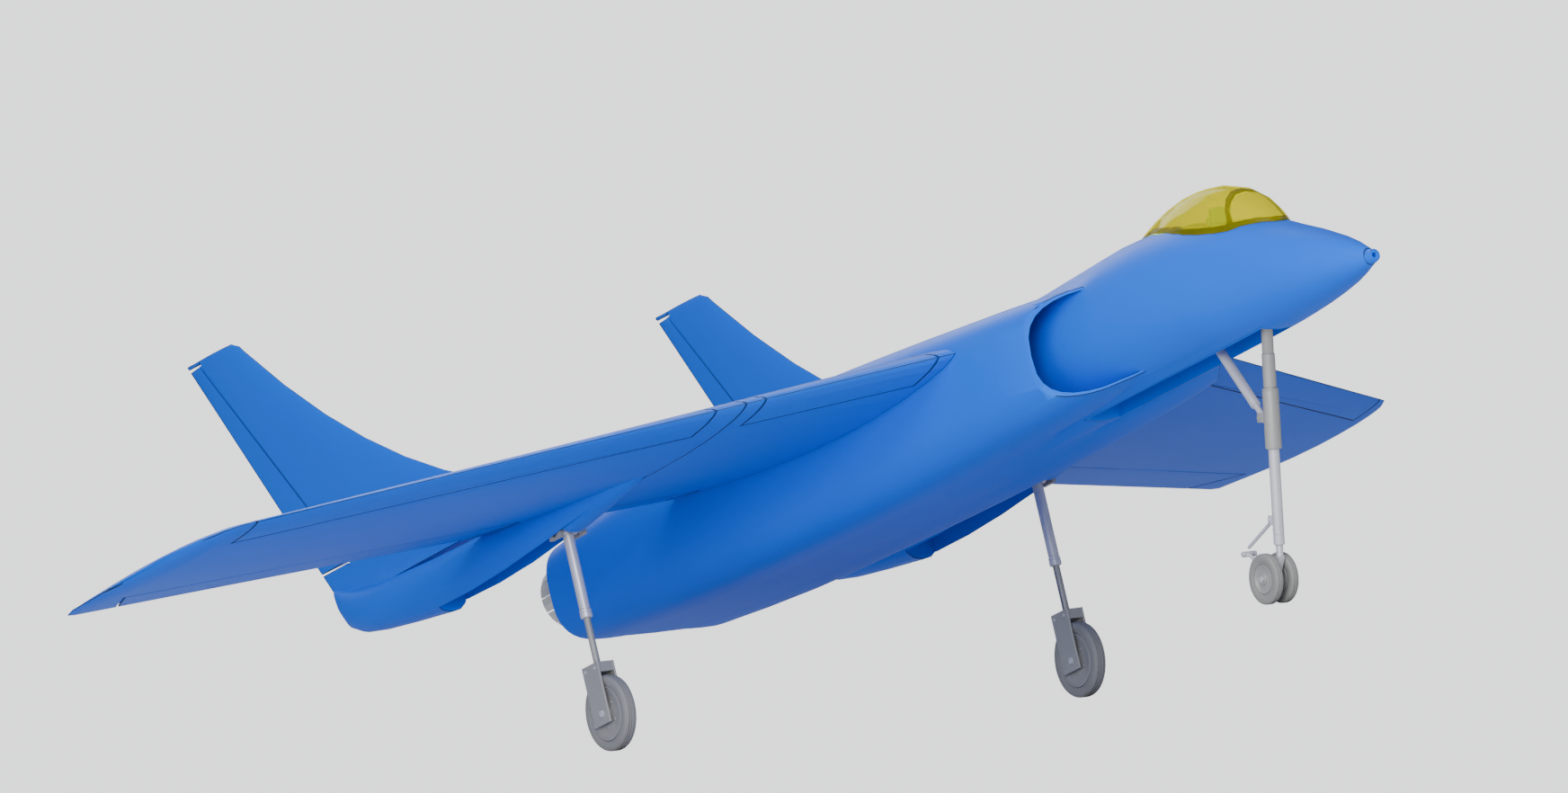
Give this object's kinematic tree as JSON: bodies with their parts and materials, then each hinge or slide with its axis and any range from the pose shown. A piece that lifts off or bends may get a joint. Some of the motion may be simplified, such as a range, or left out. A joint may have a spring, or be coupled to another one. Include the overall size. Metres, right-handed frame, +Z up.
{
  "type": "radio controlled jet plane",
  "caption": "Tailless twin-fan model jet with swept wings, twin fins over gear pods, yellow bubble canopy and tall retractable landing gear.",
  "frame": {"origin": "bottom centre of the bounding box, on the ground under the wheels", "axes": "nose towards -Y, port wing +X, +Z up; the airframe stands pitched nose-up on its wheels"},
  "size_m": [1.206, 1.469, 0.4325],
  "materials": {
    "hull_blue": "satin sprayed moulded shell",
    "cockpit_green": "matt moulded plastic",
    "canopy_yellow": "clear tinted vacuum-formed sheet",
    "canopy_frame": "tinted frame",
    "bright_metal": "turned and polished",
    "gear_grey": "satin grey",
    "tyre_grey": "grey rubber",
    "nozzle_metal": "brushed",
    "black_plastic": "glass-filled moulding",
    "carbon": "carbon fibre",
    "ply": "birch ply",
    "battery_wrap": "shrink wrap"
  },
  "bodies": {
    "airframe": {"fuselage_shell": "hull_blue", "nose_ring": "hull_blue", "nose_bay_liner": "hull_blue", "wing_centre_left": "hull_blue", "wing_outer_left": "hull_blue", "fin_left": "hull_blue", "wing_centre_right": "hull_blue", "wing_outer_right": "hull_blue", "fin_right": "hull_blue", "cockpit_tub": "cockpit_green", "pilot_seat": "cockpit_green", "equipment_tray": "ply", "instrument_panel": "black_plastic", "main_retract_left": "gear_grey", "fan_housing_left": "black_plastic", "thrust_tube_left": "carbon", "nozzle_left": "nozzle_metal", "speed_controller_left": "black_plastic", "main_retract_right": "gear_grey", "fan_housing_right": "black_plastic", "thrust_tube_right": "carbon", "nozzle_right": "nozzle_metal", "speed_controller_right": "black_plastic", "wing_spar": "carbon", "nose_retract": "black_plastic", "battery_pack": "battery_wrap", "receiver": "black_plastic"},
    "canopy": {"canopy_frame": "canopy_frame", "canopy_glass": "canopy_yellow", "windshield_glass": "canopy_yellow"},
    "nose_leg_body": {"nose_leg": "gear_grey"},
    "nose_strut_body": {"nose_strut": "bright_metal"},
    "nose_axle_body": {"nose_axle": "bright_metal"},
    "drag_brace_body": {"drag_brace": "bright_metal"},
    "torque_upper_body": {"torque_link_upper": "bright_metal"},
    "torque_lower_body": {"torque_link_lower": "bright_metal"},
    "elevon_left_body": {"elevon_left": "hull_blue"},
    "elevon_right_body": {"elevon_right": "hull_blue"},
    "speed_brake_left_body": {"speed_brake_left": "hull_blue"},
    "speed_brake_right_body": {"speed_brake_right": "hull_blue"},
    "rudder_left_body": {"rudder_left": "hull_blue"},
    "rudder_right_body": {"rudder_right": "hull_blue"},
    "slat_inner_left_body": {"slat_inner_left": "hull_blue"},
    "slat_outer_left_body": {"slat_outer_left": "hull_blue"},
    "slat_inner_right_body": {"slat_inner_right": "hull_blue"},
    "slat_outer_right_body": {"slat_outer_right": "hull_blue"},
    "nose_wheel_left_body": {"nose_tyre_left": "tyre_grey", "nose_hub_left": "gear_grey"},
    "nose_wheel_right_body": {"nose_tyre_right": "tyre_grey", "nose_hub_right": "gear_grey"},
    "main_leg_left_body": {"main_leg_left": "bright_metal"},
    "main_fork_left_body": {"main_fork_left": "gear_grey"},
    "main_wheel_left_body": {"main_tyre_left": "tyre_grey", "main_hub_left": "gear_grey"},
    "main_leg_right_body": {"main_leg_right": "bright_metal"},
    "main_fork_right_body": {"main_fork_right": "gear_grey"},
    "main_wheel_right_body": {"main_tyre_right": "tyre_grey", "main_hub_right": "gear_grey"},
    "fan_rotor_left_body": {"fan_rotor_left": "gear_grey"},
    "fan_rotor_right_body": {"fan_rotor_right": "gear_grey"}
  },
  "joints": [
    {"name": "canopy_hinge", "type": "hinge", "parent": "airframe", "child": "canopy", "pos_m": [0, -0.394, 0.32477], "axis": [-1, 0, 0], "range_deg": [0, 50]},
    {"name": "elevon_left_hinge", "type": "hinge", "parent": "airframe", "child": "elevon_left_body", "pos_m": [0.42, 0.29273, 0.2081], "axis": [0.9054, 0.4219, -0.0476], "range_deg": [-22, 22]},
    {"name": "elevon_right_hinge", "type": "hinge", "parent": "airframe", "child": "elevon_right_body", "pos_m": [-0.42, 0.29273, 0.2081], "axis": [0.9054, -0.4219, 0.0476], "range_deg": [-22, 22]},
    {"name": "speed_brake_left_hinge", "type": "hinge", "parent": "airframe", "child": "speed_brake_left_body", "pos_m": [0.16, 0.19974, 0.21859], "axis": [-0.9153, -0.4002, 0.0451], "range_deg": [0, 38]},
    {"name": "speed_brake_right_hinge", "type": "hinge", "parent": "airframe", "child": "speed_brake_right_body", "pos_m": [-0.16, 0.19974, 0.21859], "axis": [-0.9153, 0.4002, -0.0451], "range_deg": [0, 38]},
    {"name": "rudder_left_hinge", "type": "hinge", "parent": "airframe", "child": "rudder_left_body", "pos_m": [0.2426, 0.61062, 0.31315], "axis": [0, 0.683, 0.7304], "range_deg": [-20, 20]},
    {"name": "rudder_right_hinge", "type": "hinge", "parent": "airframe", "child": "rudder_right_body", "pos_m": [-0.2426, 0.61062, 0.31315], "axis": [0, 0.683, 0.7304], "range_deg": [-20, 20]},
    {"name": "slat_inner_left_slide", "type": "slide", "parent": "airframe", "child": "slat_inner_left_body", "axis": [0, -0.9996, -0.0274], "range_m": [0, 0.014]},
    {"name": "slat_outer_left_slide", "type": "slide", "parent": "airframe", "child": "slat_outer_left_body", "axis": [0, -0.9996, -0.0274], "range_m": [0, 0.014]},
    {"name": "slat_inner_right_slide", "type": "slide", "parent": "airframe", "child": "slat_inner_right_body", "axis": [0, -0.9996, -0.0274], "range_m": [0, 0.014]},
    {"name": "slat_outer_right_slide", "type": "slide", "parent": "airframe", "child": "slat_outer_right_body", "axis": [0, -0.9996, -0.0274], "range_m": [0, 0.014]},
    {"name": "nose_retract_hinge", "type": "hinge", "parent": "airframe", "child": "nose_leg_body", "pos_m": [0, -0.56018, 0.23884], "axis": [1, 0, 0], "range_deg": [0, 72.8]},
    {"name": "drag_brace_hinge", "type": "hinge", "parent": "nose_leg_body", "child": "drag_brace_body", "pos_m": [0, -0.53195, 0.15464], "axis": [1, 0, 0], "range_deg": [-120.6, 0]},
    {"name": "nose_steering", "type": "hinge", "parent": "nose_leg_body", "child": "nose_strut_body", "pos_m": [0, -0.56018, 0.23884], "axis": [0, -0.1868, 0.9824], "range_deg": [-25, 25]},
    {"name": "nose_strut_slide", "type": "slide", "parent": "nose_strut_body", "child": "nose_axle_body", "axis": [0, -0.1868, 0.9824], "range_m": [0, 0.007], "stiffness_N_per_m": 6000, "springref_m": -0.004},
    {"name": "torque_upper_hinge", "type": "hinge", "parent": "nose_strut_body", "child": "torque_upper_body", "pos_m": [0, -0.52079, 0.06922], "axis": [1, 0, 0], "range_deg": [0, 6.5]},
    {"name": "torque_lower_hinge", "type": "hinge", "parent": "nose_axle_body", "child": "torque_lower_body", "pos_m": [0, -0.49899, 0.02522], "axis": [1, 0, 0], "range_deg": [-7.2, 0]},
    {"name": "nose_wheel_left_spin", "type": "hinge", "parent": "nose_axle_body", "child": "nose_wheel_left_body", "pos_m": [0, -0.50746, 0.02157], "axis": [1, 0, 0], "continuous": true},
    {"name": "nose_wheel_right_spin", "type": "hinge", "parent": "nose_axle_body", "child": "nose_wheel_right_body", "pos_m": [0, -0.50746, 0.02157], "axis": [1, 0, 0], "continuous": true},
    {"name": "main_retract_left_hinge", "type": "hinge", "parent": "airframe", "child": "main_leg_left_body", "pos_m": [0.241, 0.1834, 0.19326], "axis": [1, 0, 0], "range_deg": [0, 85]},
    {"name": "main_strut_left_slide", "type": "slide", "parent": "main_leg_left_body", "child": "main_fork_left_body", "axis": [0, 0.112, 0.9937], "range_m": [0, 0.012], "stiffness_N_per_m": 8000, "springref_m": -0.006},
    {"name": "main_wheel_left_spin", "type": "hinge", "parent": "main_fork_left_body", "child": "main_wheel_left_body", "pos_m": [0.241, 0.16177, 0.03267], "axis": [1, 0, 0], "continuous": true},
    {"name": "main_retract_right_hinge", "type": "hinge", "parent": "airframe", "child": "main_leg_right_body", "pos_m": [-0.241, 0.1834, 0.19326], "axis": [1, 0, 0], "range_deg": [0, 85]},
    {"name": "main_strut_right_slide", "type": "slide", "parent": "main_leg_right_body", "child": "main_fork_right_body", "axis": [0, 0.112, 0.9937], "range_m": [0, 0.012], "stiffness_N_per_m": 8000, "springref_m": -0.006},
    {"name": "main_wheel_right_spin", "type": "hinge", "parent": "main_fork_right_body", "child": "main_wheel_right_body", "pos_m": [-0.241, 0.16177, 0.03267], "axis": [1, 0, 0], "continuous": true},
    {"name": "fan_rotor_left_spin", "type": "hinge", "parent": "airframe", "child": "fan_rotor_left_body", "pos_m": [0.057, 0.1558, 0.19838], "axis": [0, 0.9937, -0.112], "continuous": true},
    {"name": "fan_rotor_right_spin", "type": "hinge", "parent": "airframe", "child": "fan_rotor_right_body", "pos_m": [-0.057, 0.1558, 0.19838], "axis": [0, 0.9937, -0.112], "continuous": true}
  ],
  "couplings": [
    {"joint": "speed_brake_right_hinge", "follows": "speed_brake_left_hinge", "ratio": 1},
    {"joint": "rudder_right_hinge", "follows": "rudder_left_hinge", "ratio": 1},
    {"joint": "slat_outer_left_slide", "follows": "slat_inner_left_slide", "ratio": 1},
    {"joint": "slat_inner_right_slide", "follows": "slat_inner_left_slide", "ratio": 1},
    {"joint": "slat_outer_right_slide", "follows": "slat_inner_left_slide", "ratio": 1},
    {"joint": "drag_brace_hinge", "follows": "nose_retract_hinge", "ratio": -1.654},
    {"joint": "torque_upper_hinge", "follows": "nose_strut_slide", "rad_per_m": 14.6},
    {"joint": "torque_lower_hinge", "follows": "nose_strut_slide", "rad_per_m": -16.6}
  ]
}
